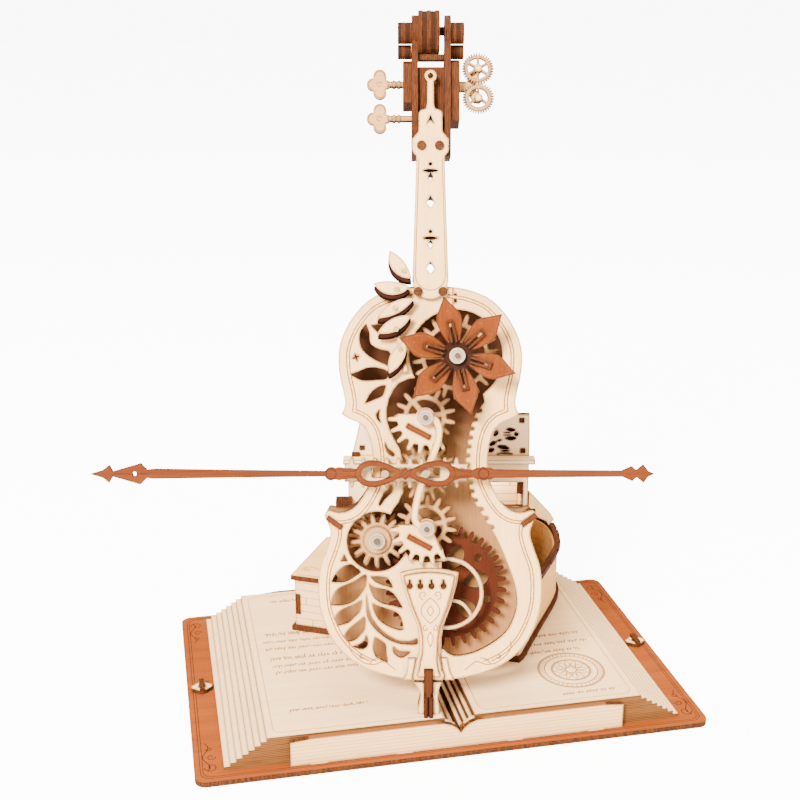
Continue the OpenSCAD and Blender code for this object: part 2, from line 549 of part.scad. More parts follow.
module scroll() color(dark) stand() {
    for (i = [0 : 4]) profile_plate(-4.25 + 1.49 * i, -2.76 + 1.49 * i) polygon([for (p =
        concat(volute, [[231.5, -10.8], [231.5, -2]])) head_c + (p - head_c) * (1 - 0.035 * (i % 2))]);
    profile_plate(-11.4, 11.9) translate(head_c) circle(1.55);
    for (q = [[-11.4, -6.55], [7.25, 11.9]]) profile_plate(q[0], q[1]) {
        translate([238.8, -4.6]) circle(3.7);
        translate([233.1, -8.2]) circle(2.5);
    }
}
module peg(t) translate([0, t, -5]) {
    translate([-14.8, 0, 0]) rotate([0, 90, 0]) cylinder(r = 1.2, h = 10.5);
    for (x = [-13.2, -11.4]) translate([x, 0, 0]) rotate([0, 90, 0]) cylinder(r = 1.5, h = 0.9);
    translate([0, 0, -0.95]) linear_extrude(1.9) union() {
        translate([-15.4, 0]) circle(1.5);
        for (q = [[-17.7, 2.9, 2.3], [-17.7, -2.9, 2.3], [-20.1, 0, 2.2], [-17.4, 0, 2.4]])
            translate([q[0], q[1]]) circle(q[2]);
    }
}
module peg_upper() color(light) stand() peg(220.8);
module peg_lower() color(light) stand() peg(208.8);
pw_hi = [17, 227];
pw_lo = [17.15, 216.65];
pw_n = 34;
pw_r = norm(pw_hi - pw_lo) / 2;
pw_a = atan2((pw_lo - pw_hi)[1], (pw_lo - pw_hi)[0]);
module small_wheel(c, p, spokes, rim) stand() at(c, -8) linear_extrude(1.6) difference() {
    polygon([for (i = [0 : pw_n - 1]) for (q = [[-0.6, -0.3], [0.05, -0.2], [0.42, -0.08], [0.42,
        0.08], [0.05, 0.2], [-0.6, 0.3]])
        turned(pw_r + q[0], q[1], p + i * 360 / pw_n)]);
    circle(0.9 + fit);
    difference() {
        circle(rim);
        circle(1.55);
        for (i = [0 : spokes - 1]) rotate(90 + i * 360 / spokes) translate([0, -0.4]) square([6, 0.8]);
    }
}
module peg_wheel_upper() color(light) small_wheel(pw_hi, 0, 6, 3.6);
module peg_wheel_lower() color(light)
    small_wheel(pw_lo, pw_a + 180 - (360 / pw_n) * (0.5 - pw_a * pw_n / 360), 3, 3.3);
module wheel_arm() color(light) stand() {
    layer(-9.9, 1.6) {
        translate([10.35, 219.2]) square([4.6, 3.6]);
        for (c = [pw_hi, pw_lo]) at(c) circle(1.5);
        polygon([[13, 219.4], [13, 222.6], [15.9, 228], [18.1, 226.4], [15.9, 221], [18.1, 216.8],
            [15.9, 215.2]]);
    }
    for (c = [pw_hi, pw_lo]) rod(c, -9.9, -5.9, 0.9);
    for (c = [pw_hi, pw_lo]) rod(c, -6.3, -5.5, 1.4);
}

// ---- leaves ----
// pin, tip, base, bulge to the left of tip-to-base, bulge to its right
leaf_at = [[[-9.3, 154.6], [-14.2, 161.6], [-6.7, 152], 1.6, 3.3],
    [[-11.7, 148.2], [-19.7, 150.3], [-7.2, 149], 1.3, 3.4], [[-12.3, 141.6], [-18.6, 138.2], [-5.6,
        145.2], 2.3, 1.9],
    [[-12, 134.4], [-18.4, 133], [-6.8, 139.2], 2.1, 2.4], [[-10.6, 127.6], [-14.4, 119], [-8.4,
        130.6], 2.6, 2.2]];
module arc_leaf(a, b, h, k) {
    d = norm(b - a);
    q = [a[1] - b[1], b[0] - a[0]] / d;
    m = (a + b) / 2;
    rh = (d * d / 4 + h * h) / (2 * h);
    rk = (d * d / 4 + k * k) / (2 * k);
    intersection() {
        translate(m - q * (rh - h)) circle(rh);
        translate(m + q * (rk - k)) circle(rk);
    }
}
module leaf_layer(q, w, drop, grow) translate([0, -drop, w]) linear_extrude(1)
    arc_leaf(q[1] + grow * unit(q[1] - q[2]), q[2] - grow * unit(q[1] - q[2]), q[3] + grow, q[4] 
        + grow);
module leaves() color(light) stand() difference() {
    union() {
        for (q = leaf_at) {
            leaf_layer(q, 2.1, 1.9, 0.15);
            leaf_layer(q, 3.1, 1.2, 0.1);
            leaf_layer(q, 4.1, 0, 0);
        }
        layer(0.05, 2.1) polygon(strip(smooth([[-8.6, 154.6], [-11.2, 148], [-11.8, 141], [-11.4, 134],
            [-9.9, 126], [-8.4, 118]], 4), 0.95));
    }
    for (q = leaf_at) rod(q[0], -1, 6, 0.6);
}
module leaf_pins() color(brass) stand() for (q = leaf_at) {
    rod(q[0], 0.1, 5.6, 0.6);
    at(q[0], 5.1) cylinder(r = 0.95, h = 0.7);
}

// ---- gear train ----
module wheel(n, p, bore) difference() {
    union() {
        circle(mod_g * n / 2 - ded + 0.15);
        polygon(gear_pts(n, p));
    }
    circle(bore);
}
module drive_gear() color(brown) stand() at(c_drive, w_rear) linear_extrude(ply) difference() {
    wheel(n_drive, p_drive, 1.25);
    for (a = [0 : 60 : 300]) rotate(a + 12) lens([6.2, 0], [15.8, 0], 3);
    for (a = [30 : 60 : 330]) rotate(a + 12) translate([15.4, 0]) circle(1.5);
}
module drive_arbor() color(steel) stand() {
    rod(c_drive, -52.5, -6.5, 1.25);
    rod(c_drive, -9.95, -7, 2.6);
}
module left_wheels() color(light) stand() {
    at(c_left, w_rear) linear_extrude(ply) wheel(n_rear, p_rear, shaft_r);
    at(c_left, w_rear + ply) linear_extrude(4) difference() {
        circle(3.2);
        circle(shaft_r);
    }
    at(c_left, w_ring) linear_extrude(ply) wheel(n_front, p_front, shaft_r);
    at(c_left, w_ring + ply - 0.05) linear_extrude(0.95) difference() {
        circle(4.9);
        circle(shaft_r);
    }
}
module left_arbor() color(steel) stand() {
    rod(c_left, -17.6, -3.9, shaft_r);
    rod(c_left, -3.05, -0.4, 2.8);
    rod(c_left, -0.5, 0.6, 1.3);
}
module ring_wheel(n, p) difference() {
    wheel(n, p, shaft_r);
    difference() {
        circle(mod_g * n / 2 - ded - 1.5);
        circle(2.6);
        for (a = [20, 140, 260]) rotate(a + p) translate([0, -1]) square([mod_g * n, 2]);
    }
}
module lower_wheel() color(light) stand() at(c_lower, w_ring) linear_extrude(ply)
    ring_wheel(n_ring, p_lower);
module upper_wheel() color(light) stand() at(c_upper, w_ring) linear_extrude(ply)
    ring_wheel(n_ring, p_upper);
module idler() color(light) stand() at(c_idle, w_ring) linear_extrude(ply) difference() {
    wheel(15, p_idle, shaft_r + fit);
    for (a = [0 : 72 : 288]) rotate(a) translate([4.6, 0]) circle(1.3);
}
module sector(c) stand() {
    at(c, w_sector) linear_extrude(ply) difference() {
        union() {
            circle(3.4);
            polygon(concat([[0, 1.2], [-9.6, 1.2]], [for (a = [183 : 9.75 : 300]) [9.8 * cos(a),
                9.8 * sin(a)]],
                [[5.4, -8.6], [2.6, -1.5]]));
            for (a = [183 : 19.5 : 301]) rotate(a) polygon([[9.2, -1.3], [10.4, -0.85], [12.6,
                -0.62], [13.2, 0],
                [12.6, 0.62], [10.4, 0.85], [9.2, 1.3]]);
        }
        circle(shaft_r);
        translate([-2.4, -5]) rotate(-28) square([9.4, 1.9], center = true);
    }
    at(c, w_sector - 0.6) translate([-2.4, -5, 0]) rotate(-28) translate([-4.7, -0.95, 0])
        cube([9.4, 1.9, 3]);
}
module lower_sector() color(light) sector(c_lower);
module upper_sector() color(light) sector(c_upper);
module arbor_and_bush(c) stand() {
    rod(c, -17.6, 7.8, shaft_r);
    rod(c, w_ring + ply, w_sector, 2.3);
    rod(c, 5.8, 7.2, 2.6);
}
module lower_arbor() color(steel) arbor_and_bush(c_lower);
module upper_arbor() color(steel) arbor_and_bush(c_upper);
module flower_wheel() color(light) stand() at(c_flower, w_ring) linear_extrude(ply)
    ring_wheel(n_flower, p_flower);
petal = concat(smooth([[-0.9, 1.5], [1.6, 2.3], [5, 3.4], [8.2, 4.25], [11, 4.1], [14, 2.3], [16.4,
    0.7]], 3),
    [[17.6, 0.12], [17.9, 0]]);
module flower() color(brown) stand() at(c_flower, 7.6) {
    linear_extrude(1.6) difference() {
        circle(4.6);
        circle(shaft_r);
    }
    for (a = [43 : 60 : 343]) rotate(a) translate([3.6, 0, 0]) rotate([0, -12, 0]) {
        linear_extrude(1.6) difference() {
            polygon(concat(petal, [for (i = [len(petal) - 2 : -1 : 0]) [petal[i][0], -petal[i][1]]]));
            translate([1.7, -1.15]) square([7.4, 2.3]);
        }
        for (k = [-1, 1]) translate([1.65, k * 0.8 - 0.4, 0.2]) cube([7.5, 0.8, 2.8]);
        translate([8.35, -0.4, 0.2]) cube([0.8, 0.8, 2.8]);
    }
}
module flower_arbor() color(steel) stand() {
    rod(c_flower, -17.6, 12.4, shaft_r);
    rod(c_flower, w_ring + ply, 7.6, 2.3);
    rod(c_flower, 9.25, 11.4, 2.7);
}

// ---- bow and bracket ----
module s_bracket() color(light) stand() difference() {
    union() {
        layer(w_bracket, 1.6) polygon(strip(smooth(bracket_path, 3), 1.2));
        for (c = [c_upper, c_lower]) rod(c, w_bracket, w_bracket + 1.6, 2.9);
        rod(c_idle, w_bracket, w_bracket + 1.6, 2);
    }
    for (c = [c_upper, c_lower]) rod(c, w_bracket - 1, w_bow, shaft_r + fit);
    rod(c_idle, w_bracket - 1, w_bow, shaft_r);
}
module guide_pins() color(steel) stand() {
    rod(c_idle, w_back, 9.2, shaft_r);
    rod(pin_left, -ply, 9.2, shaft_r);
    for (c = [c_idle, pin_left]) rod(c, 8.6, 9.4, 1.3);
}
function loop_pts(k) = [for (u = [0 : 12 : 348]) [k * 17.2 * (1 - cos(u)) / 2, 6 * sin(u) * sin(u /
    2)]];
module loop(k) translate([-8.8, 84.5]) difference() {
    polygon(loop_pts(k));
    offset(delta = -1.95) polygon(loop_pts(k));
}
stick_l = [[-25.4, 1.7], [-28, 1.6], [-31.6, 2.3], [-36.7, 0.95], [-70, 1.35], [-95.6, 1.75], [-98,
    1.4],
    [-100.2, 3.7], [-106, 2], [-109.8, 0.9], [-111, 3], [-113, 1.4], [-117.5, 0.05]];
stick_r = [[7.4, 2.6], [10, 1.7], [14.6, 1.3], [16, 2], [20.6, 2], [22, 1.4], [66, 1.05], [69.4,
    2.6], [71, 1.2],
    [73.4, 3.1], [75, 1], [77.2, 0.05]];
module taper(p) translate([0, 84.5]) polygon(concat(p, [for (i = [len(p) - 1 : -1 : 0]) [p[i][0],
    -p[i][1]]]));
module bow() color(brown) stand() difference() {
    union() {
        for (k = [-1, 1]) layer(w_bow) loop(k);
        layer(w_bow) translate([-8.8, 84.5]) rotate(45) square([3.2, 3.2], center = true);
        layer(w_bow) taper(stick_l);
        layer(w_bow) taper(stick_r);
        for (s = [-34.4, 18.2]) rod([s, 84.5], w_bow, w_bow + ply, 2.3);
    }
    for (p = [c_idle, pin_left]) {
        layer(w_bow - 1, 4) translate(p - [2.25, shaft_r + fit]) square([4.5, 2 * (shaft_r + fit)]);
        for (k = [-1, 1]) rod(p + [2.25 * k, 0], w_bow - 1, w_bow + 3, shaft_r + fit);
    }
    rod([-102.2, 84.5], w_bow - 1, w_bow + ply + 1, 0.8);
    for (s = [-28, 11]) rod([s, 84.5], w_bow - 1, w_bow + 1.3, 0.8);
}
module bow_rack() color(light) stand() {
    layer(w_sector) difference() {
        union() {
            translate([-30, 81.3]) square([43, 6.4]);
            for (i = [0 : 9]) for (k = [-1, 1]) translate([-27.4 + 4.05 * i, 84.5 + k * 3])
                scale([1, k])
                polygon([[-0.85, 0], [-0.7, 1.6], [-0.3, 2.3], [0.3, 2.3], [0.7, 1.6], [0.85, 0]]);
        }
        translate([-20.4, 82.9]) square([23.6, 3.2]);
    }
    for (s = [-28, 11]) {
        rod([s, 84.5], w_sector + ply, w_bow, 1.5);
        rod([s, 84.5], w_bow - 0.05, w_bow + 1.25, 0.8);
    }
}
module spiral_ring() color(light) stand() layer(-3.6, 1.4) at(c_drive - [0, 1.2]) {
    difference() {
        circle(12.9);
        circle(11.5);
    }
    polygon(strip(smooth([[-1.5, -2], [1.2, -2.4], [5, -3.4], [7.9, -6.6], [8.6, -9.4]], 4), 0.6));
    rotate(-60) translate([-12.2, 0]) square([1, 1]);
}

book_cover();
pages();
gutter_strips();
end_walls();
clasp_left();
clasp_right();
clasp_pins();
case_floor();
case_walls();
case_top();
case_rim();
side_brace();
tower_front();
tower_shell();
tower_shelves();
stays();
joint_tabs();
movement_bed();
pin_cylinder();
comb();
governor();
wind_key();
drive_block();
front_left();
front_right();
back_plate();
pillars();
tailpiece();
end_pin();
neck_board();
neck_core();
plugs();
pegbox();
scroll();
peg_upper();
peg_lower();
peg_wheel_upper();
peg_wheel_lower();
wheel_arm();
leaves();
leaf_pins();
drive_gear();
drive_arbor();
left_wheels();
left_arbor();
lower_wheel();
lower_sector();
lower_arbor();
idler();
upper_wheel();
upper_sector();
upper_arbor();
flower_wheel();
flower();
flower_arbor();
s_bracket();
guide_pins();
bow();
bow_rack();
spiral_ring();
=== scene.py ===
import math
import bpy
from mathutils import Vector, Matrix


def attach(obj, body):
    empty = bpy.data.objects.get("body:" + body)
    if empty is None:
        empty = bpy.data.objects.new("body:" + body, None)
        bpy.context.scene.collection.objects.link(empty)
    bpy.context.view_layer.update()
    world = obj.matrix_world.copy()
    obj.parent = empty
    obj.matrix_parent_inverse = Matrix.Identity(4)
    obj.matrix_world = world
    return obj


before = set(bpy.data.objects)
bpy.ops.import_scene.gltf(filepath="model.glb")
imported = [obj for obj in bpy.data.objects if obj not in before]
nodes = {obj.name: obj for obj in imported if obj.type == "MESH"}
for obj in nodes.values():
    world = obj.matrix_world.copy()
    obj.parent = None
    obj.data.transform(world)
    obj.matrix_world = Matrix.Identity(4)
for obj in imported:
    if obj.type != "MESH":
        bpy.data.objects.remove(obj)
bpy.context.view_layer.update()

# ---------------------------------------------------------------- the cello's own axes, in metres
LEAN, TURN = math.radians(17), math.radians(-11.6)
PAGE_TOP = 0.01272
FOOT = Vector((-0.0094, -0.0482, PAGE_TOP))
STAND = Matrix.Rotation(TURN, 3, "Z") @ Matrix.Rotation(math.pi / 2 - LEAN, 3, "X")
E1, E2, N = STAND.col[0].copy(), STAND.col[1].copy(), STAND.col[2].copy()
TOWER = Matrix.Rotation(TURN, 3, "Z")
TOWER_AT = Vector((0.0087, 0.020, PAGE_TOP + 0.024))


def on_cello(s, t, w=0.0):
    return FOOT + STAND @ Vector((s, t, w)) / 1000


def on_tower(x, y, z):
    return TOWER_AT + TOWER @ Vector((x, y, z)) / 1000


# ---------------------------------------------------------------- shader building
class Net:
    def __init__(self, name):
        self.mat = bpy.data.materials.new(name)
        self.mat.use_nodes = True
        self.tree = self.mat.node_tree
        self.tree.nodes.clear()
        self.out = self.tree.nodes.new("ShaderNodeOutputMaterial")
        self.bsdf = self.tree.nodes.new("ShaderNodeBsdfPrincipled")
        self.tree.links.new(self.bsdf.outputs[0], self.out.inputs[0])
        self.coord = self.tree.nodes.new("ShaderNodeTexCoord")

    def put(self, socket, v):
        if isinstance(v, bpy.types.NodeSocket):
            self.tree.links.new(v, socket)
        else:
            socket.default_value = v

    def math(self, op, a, b=0.0, clamp=False):
        n = self.tree.nodes.new("ShaderNodeMath")
        n.operation, n.use_clamp = op, clamp
        self.put(n.inputs[0], a)
        self.put(n.inputs[1], b)
        return n.outputs[0]

    def vec(self, op, a, b=(0, 0, 0)):
        n = self.tree.nodes.new("ShaderNodeVectorMath")
        n.operation = op
        self.put(n.inputs[0], a)
        self.put(n.inputs[1], b)
        return n.outputs["Value"] if op in ("DOT_PRODUCT", "LENGTH", "DISTANCE") else n.outputs[0]

    def join(self, x, y, z):
        n = self.tree.nodes.new("ShaderNodeCombineXYZ")
        for i, v in enumerate((x, y, z)):
            self.put(n.inputs[i], v)
        return n.outputs[0]

    def stretched(self, u, v, su, sv, depth):
        """A point of the sheet scaled along and across the grain, for noise."""
        return self.join(self.math("MULTIPLY", u, su), self.math("MULTIPLY", v, sv), depth)

    def along(self, axis):
        """How far the shaded point lies along a direction, in the row frame."""
        return self.vec("DOT_PRODUCT", self.coord.outputs["Object"], tuple(axis))

    def noise(self, vector, scale, detail=3.0, rough=0.55):
        n = self.tree.nodes.new("ShaderNodeTexNoise")
        self.put(n.inputs["Vector"], vector)
        n.inputs["Scale"].default_value = scale
        n.inputs["Detail"].default_value = detail
        n.inputs["Roughness"].default_value = rough
        return n.outputs[0]

    def step(self, v, lo, hi, a=0.0, b=1.0, smooth=True):
        n = self.tree.nodes.new("ShaderNodeMapRange")
        n.interpolation_type = "SMOOTHSTEP" if smooth else "LINEAR"
        n.clamp = True
        self.put(n.inputs[0], v)
        for i, k in enumerate((lo, hi, a, b)):
            n.inputs[i + 1].default_value = k
        return n.outputs[0]

    def mix(self, f, a, b, mode="MIX"):
        n = self.tree.nodes.new("ShaderNodeMix")
        n.data_type, n.blend_type, n.clamp_factor = "RGBA", mode, True
        self.put(n.inputs[0], f)
        for k, v in ((6, a), (7, b)):
            self.put(n.inputs[k], v if isinstance(v, bpy.types.NodeSocket) else (*v, 1.0))
        return n.outputs[2]

    def bump(self, height, strength, dist):
        n = self.tree.nodes.new("ShaderNodeBump")
        n.inputs["Strength"].default_value = strength
        n.inputs["Distance"].default_value = dist
        self.put(n.inputs["Height"], height)
        return n.outputs[0]


CREAM = (0.92, 0.565, 0.235)
CREAM_DEEP = (0.80, 0.405, 0.130)
BURNT = (0.016, 0.005, 0.002)
AMBER = (0.110, 0.032, 0.007)
SCORCH = 0.001      # reach of the scorched line beside a cut, in metres
PLY = 0.00066       # one layer of the sheet


def plywood(name, axes, face, deep, sides=False, edge=BURNT, edge_lit=AMBER, ply=PLY, edge_mix=0.5,
            halo=0.97, extra=None, over=None, beam=(1700.0, 260.0), seed=0.0):
    """Laser-cut plywood. axes = (grain, across, through): the sheet's own directions. sides=True is for a
    box of upright walls, whose burnt edges look up and down."""
    k = Net(name)
    p = k.coord.outputs["Object"]
    g, c, n = (Vector(a) for a in axes)
    u, v, w = (k.vec("DOT_PRODUCT", p, tuple(a)) for a in (g, c, n))
    if sides:
        v = k.vec("DOT_PRODUCT", p, (0, 0, 1))
    nrm = k.coord.outputs["Normal"]
    facing = k.math("ABSOLUTE", k.vec("DOT_PRODUCT", nrm, tuple(n)))
    is_face = k.step(facing, 0.55, 0.75, 1.0, 0.0) if sides else k.step(facing, 0.72, 0.9)
    # grain: long fibres, fine flecks and slow cloudy colour
    fibre = k.noise(k.stretched(u, v, 70.0, 1500.0, seed), 1.0, 4.0, 0.62)
    bands = k.noise(k.stretched(u, v, 14.0, 210.0, seed + 3.1), 1.0, 2.0)
    cloud = k.noise(k.stretched(u, v, 22.0, 30.0, seed + 7.7), 1.0, 2.0)
    tone = k.math("ADD", k.math("MULTIPLY", fibre, 0.45),
                  k.math("ADD", k.math("MULTIPLY", bands, 0.35), k.math("MULTIPLY", cloud, 0.2)))
    face_c = k.mix(k.step(tone, 0.34, 0.66, 0.0, 1.0, False), face, deep)
    flecks = k.noise(k.stretched(u, v, 500.0, 5200.0, seed + 1.3), 1.0, 2.0)
    face_c = k.mix(k.step(flecks, 0.66, 0.8, 0.0, 0.35), face_c, tuple(x * 0.62 for x in deep))
    # burnt edge: plies in section, streaked by the beam
    streak = k.noise(k.join(k.math("MULTIPLY", u, beam[0]), k.math("MULTIPLY", v, beam[0]),
                            k.math("MULTIPLY", w, beam[1])), 1.0, 2.0)
    layers = k.math("FRACT", k.math("DIVIDE", w, ply))
    core = k.step(k.math("ABSOLUTE", k.math("SUBTRACT", layers, 0.5)), 0.2, 0.34)
    edge_c = k.mix(k.step(streak, 0.3, 0.75, 0.0, 0.8), edge, edge_lit)
    edge_c = k.mix(k.math("MULTIPLY", core, edge_mix), edge_c, edge_lit if edge_mix > 0.6 else AMBER)
    # scorched halo beside a cut
    bev = k.tree.nodes.new("ShaderNodeBevel")
    bev.samples = 4
    bev.inputs["Radius"].default_value = SCORCH
    geo = k.tree.nodes.new("ShaderNodeNewGeometry")
    turn = k.vec("DOT_PRODUCT", bev.outputs[0], geo.outputs["True Normal"])
    rim = k.step(turn, 0.968, 0.9985, halo, 0.0)
    scorched = tuple(0.7 * a + 0.3 * b for a, b in zip(edge, edge_lit))
    face_c = k.mix(rim, face_c, scorched)
    if extra:
        face_c = extra(k, u, v, w, face_c)
    colour = k.mix(is_face, edge_c, face_c)
    if over:
        colour = over(k, u, v, w, colour)
    k.put(k.bsdf.inputs["Base Color"], colour)
    k.put(k.bsdf.inputs["Roughness"], k.step(tone, 0.3, 0.7, 0.6, 0.78, False))
    k.bsdf.inputs["Specular IOR Level"].default_value = 0.07
    relief = k.math("ADD", fibre, k.math("MULTIPLY", flecks, 0.5))
    k.put(k.bsdf.inputs["Normal"], k.bump(relief, 0.22, 0.00008))
    return k.mat


def metal(name, colour, rough, scratch=0.12):
    k = Net(name)
    p = k.coord.outputs["Object"]
    n = k.noise(k.vec("MULTIPLY", p, (3000, 3000, 600)), 1.0, 3.0)
    dull = tuple(c * 0.8 for c in colour)
    k.put(k.bsdf.inputs["Base Color"], k.mix(k.step(n, 0.3, 0.7), dull, colour))
    k.bsdf.inputs["Metallic"].default_value = 1.0
    k.put(k.bsdf.inputs["Roughness"], k.step(n, 0.3, 0.7, rough, rough + scratch, False))
    return k.mat


def bush(name, centre, pin_r):
    """White moulded bush with the steel pin end showing in its middle, about the shaft's own axis."""
    k = Net(name)
    p = k.coord.outputs["Object"]
    rel = k.vec("SUBTRACT", p, tuple(centre))
    across, upward = k.vec("DOT_PRODUCT", rel, tuple(E1)), k.vec("DOT_PRODUCT", rel, tuple(E2))
    r = k.vec("LENGTH", k.join(across, upward, 0.0))
    white = k.step(r, pin_r - 0.00003, pin_r + 0.00003)
    n = k.noise(k.vec("MULTIPLY", p, (900, 900, 900)), 1.0, 2.0)
    plastic = k.mix(k.step(n, 0.35, 0.65), (0.42, 0.30, 0.185), (0.35, 0.24, 0.145))
    ring = k.step(k.math("ABSOLUTE", k.math("SUBTRACT", r, pin_r + 0.0007)), 0.0, 0.00026, 0.8, 0.0)
    plastic = k.mix(ring, plastic, (0.15, 0.085, 0.045))
    k.put(k.bsdf.inputs["Base Color"], k.mix(white, (0.42, 0.28, 0.165), plastic))
    k.put(k.bsdf.inputs["Metallic"], k.math("SUBTRACT", 1.0, white))
    k.put(k.bsdf.inputs["Roughness"], k.step(white, 0.0, 1.0, 0.22, 0.4, False))
    return k.mat


Z, X, Y = Vector((0, 0, 1)), Vector((1, 0, 0)), Vector((0, 1, 0))
cello = (E2, E1, N)
flat = (X, Y, Z)
sideplate = (E2, N, E1)
tw = (TOWER.col[0].copy(), Z, TOWER.col[1].copy())


def planks(pitch, lift, colour=AMBER, depth=0.85, joints=0.021):
    """Engraved boards: fine burnt lines level with the book, with a butt joint here and there."""
    def extra(k, u, v, w, c):
        row = k.math("DIVIDE", k.math("SUBTRACT", k.along(Z), lift), pitch)
        f = k.math("ABSOLUTE", k.math("SUBTRACT", k.math("FRACT", row), 0.5))
        line = k.step(f, 0.44, 0.475, 0.0, depth)
        shift = k.math("MULTIPLY", k.math("FLOOR", row), 0.37)
        part = k.math("FRACT", k.math("ADD", k.math("DIVIDE", u, joints), shift))
        col = k.math("ABSOLUTE", k.math("SUBTRACT", part, 0.5))
        joint = k.step(col, 0.488, 0.494, 0.0, depth * 0.8)
        return k.mix(k.math("MAXIMUM", line, joint), c, colour)
    return extra


def between(k, v, lo, hi, soft=0.00004):
    """1 where v lies between lo and hi."""
    return k.math("MULTIPLY", k.step(v, lo - soft, lo + soft), k.step(v, hi - soft, hi + soft, 1.0, 0.0))


FRONT_W, FRONT_T, FRONT_S = FOOT.dot(N), FOOT.dot(E2), FOOT.dot(E1)

# the shafts that show at the front of the cello, in millimetres along E1 and E2
LEFT_AT, LOWER_AT = (-18.704, 60.001), (-1.395, 65.154)
UPPER_AT, FLOWER_AT = (-1.8, 103.85), (8.979, 125.142)


def stained(lo, hi, dark=(0.13, 0.045, 0.018)):
    """The layer of a cello part between two heights over its front plate, in millimetres, is stained."""
    def over(k, u, v, w, c):
        inside = between(k, w, FRONT_W + lo / 1000, FRONT_W + hi / 1000)
        return k.mix(inside, c, dark, "MULTIPLY")
    return over


def from_centre(k, u, v, centre):
    """The way from a shaft of the cello to the shaded point, for sheets that lie along the cello."""
    s, t = centre
    return k.join(k.math("SUBTRACT", v, FRONT_S + s / 1000), k.math("SUBTRACT", u, FRONT_T + t / 1000), 0.0)


def painted_shade_back(k, u, v, w, c):
    """Back board: painted shade, dark at the top of the flower opening, where the front plate shades it,
    and in the recess behind the left wheels.
    """
    up = k.step(u, FRONT_T + 0.074, FRONT_T + 0.112, 0.0, 0.97)
    off = from_centre(k, u, v, LEFT_AT)
    well = k.step(k.vec("LENGTH", off), 0.013, 0.018, 0.85, 0.0)
    front = k.step(k.vec("DOT_PRODUCT", k.coord.outputs["Normal"], tuple(N)), 0.2, 0.6)
    return k.mix(k.math("MULTIPLY", k.math("MAXIMUM", up, well), front), c, (0.050, 0.015, 0.005))


def hub_shade(k, u, v, w, c):
    """The petals darken towards the hub of the flower."""
    off = from_centre(k, u, v, FLOWER_AT)
    near = k.step(k.vec("LENGTH", off), 0.0046, 0.0096, 0.95, 0.0)
    return k.mix(near, c, (0.016, 0.005, 0.002))


def warm_end(k, u, v, w, c):
    """The walls turn amber towards the rounded right end of the case."""
    end = k.step(k.along(X), 0.040, 0.047)
    return k.mix(k.math("MULTIPLY", end, 0.75), c, (0.80, 0.36, 0.085))


def leaf_edges(k, u, v, w, c):
    """Front wall of the book: fine engraved lines that stand for the leaves."""
    row = k.math("FRACT", k.math("DIVIDE", v, 0.00135))
    line = k.step(k.math("ABSOLUTE", k.math("SUBTRACT", row, 0.5)), 0.38, 0.48, 0.0, 0.62)
    return k.mix(line, c, (0.30, 0.105, 0.026))


def shelf_top(k, u, v, w, c):
    """The ledge across the tower lies flat, so its upper face is plain wood and not a burnt edge."""
    up = k.step(k.vec("DOT_PRODUCT", k.coord.outputs["Normal"], (0, 0, 1)), 0.7, 0.9)
    high = k.step(v, 0.0785, 0.0792, 0.0, 1.0)
    low = k.step(v, 0.0826, 0.0832, 1.0, 0.0)
    return k.mix(k.math("MULTIPLY", up, k.math("MULTIPLY", high, low)), c, CREAM)


def laminated(pitch, phase, colour, share):
    """Stacked plates side by side across the scroll: every other one in another colour."""
    def over(k, u, v, w, c):
        across = k.math("DIVIDE", k.math("SUBTRACT", k.along(E1), FRONT_S + phase), pitch)
        odd = k.step(k.math("FRACT", k.math("MULTIPLY", across, 0.5)), 0.49, 0.51)
        return k.mix(k.math("MULTIPLY", odd, share), c, colour)
    return over


M = {}
M["cover"] = plywood("cover", flat, (0.275, 0.062, 0.008), (0.175, 0.034, 0.004), halo=0.35, seed=1.0)
M["page"] = plywood("page", flat, (0.92, 0.61, 0.30), (0.82, 0.48, 0.20), edge=(0.050, 0.015, 0.004),
                    edge_lit=(0.21, 0.078, 0.018), ply=0.00067, edge_mix=0.75, halo=0.6,
                    beam=(90.0, 5200.0), seed=2.0)
M["light"] = plywood("light", cello, CREAM, CREAM_DEEP, seed=3.0)
M["light_b"] = plywood("light_b", (E1, E2, N), (0.82, 0.54, 0.27), (0.68, 0.39, 0.165), seed=4.0)
M["peg"] = plywood("peg", (E1, E2, N), (0.60, 0.33, 0.130), (0.44, 0.21, 0.070), seed=4.4, halo=0.9)
M["gear"] = plywood("gear", cello, (0.54, 0.285, 0.108), (0.41, 0.190, 0.062), seed=5.0, halo=0.9)
M["sector"] = plywood("sector", cello, CREAM, CREAM_DEEP, seed=5.5,
                      over=stained(3.55, 9.0, (0.15, 0.055, 0.022)))
M["leaf"] = plywood("leaf", cello, CREAM, CREAM_DEEP, seed=3.4, halo=0.9,
                    over=stained(3.05, 4.16, (0.045, 0.016, 0.008)))
M["bow"] = plywood("bow", (E1, E2, N), (0.140, 0.030, 0.005), (0.070, 0.013, 0.002), seed=7.0, halo=0.3)
M["petal"] = plywood("petal", cello, (0.165, 0.036, 0.005), (0.095, 0.018, 0.002), seed=8.0, halo=0.6,
                     over=hub_shade)
M["red"] = plywood("red", cello, (0.075, 0.014, 0.003), (0.038, 0.007, 0.002), seed=9.0,
                   edge=(0.022, 0.006, 0.003), edge_lit=(0.11, 0.028, 0.009))
M["end_pin"] = plywood("end_pin", cello, CREAM, CREAM_DEEP, seed=9.6,
                       over=stained(2.03, 6.0, (0.065, 0.026, 0.012)))
M["side_brown"] = plywood("side_brown", sideplate, (0.085, 0.019, 0.004), (0.038, 0.008, 0.002),
                          seed=11.0, ply=0.0007, edge=(0.010, 0.003, 0.001), edge_lit=(0.110, 0.026, 0.005),
                          beam=(300.0, 3400.0))
M["side_dark"] = plywood("side_dark", sideplate, (0.060, 0.014, 0.004), (0.030, 0.007, 0.002), seed=12.0,
                         ply=0.0007)
